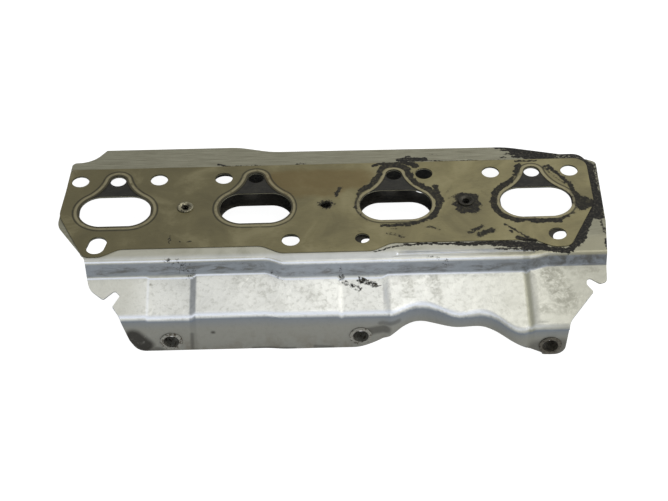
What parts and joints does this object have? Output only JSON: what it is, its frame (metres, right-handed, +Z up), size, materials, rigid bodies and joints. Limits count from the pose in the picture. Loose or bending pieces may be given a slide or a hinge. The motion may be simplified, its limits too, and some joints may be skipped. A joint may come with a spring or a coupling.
{
  "type": "exhaust gasket",
  "caption": "Layered steel exhaust manifold gasket with oval ports, stud holes and a pressed heat shield that folds down along one side.",
  "frame": {"origin": "bottom centre of the whole part as it rests, on the shield's front edge and the sagging lower layer", "axes": "+X along the row of ports, to the right in the picture, +Y from the shield to the back edge, +Z up"},
  "size_m": [0.3254, 0.156, 0.0339],
  "materials": {
    "upper_steel": "heat-tinted olive steel with soot round the ports",
    "spacer_steel": "dark sooty steel",
    "shield_steel": "mottled aluminised steel, satin, stained",
    "lower_steel": "dark sooty steel",
    "rivet_steel": "dull plated steel",
    "eyelet_steel": "satin plated steel"
  },
  "bodies": {
    "root": {"upper_layer": "upper_steel", "spacer_layer": "spacer_steel", "shield_plate": "shield_steel", "lower_layer": "lower_steel", "rivet_left": "rivet_steel", "rivet_right": "rivet_steel", "eyelet_left": "eyelet_steel", "eyelet_middle": "eyelet_steel", "eyelet_right": "eyelet_steel"}
  },
  "joints": []
}
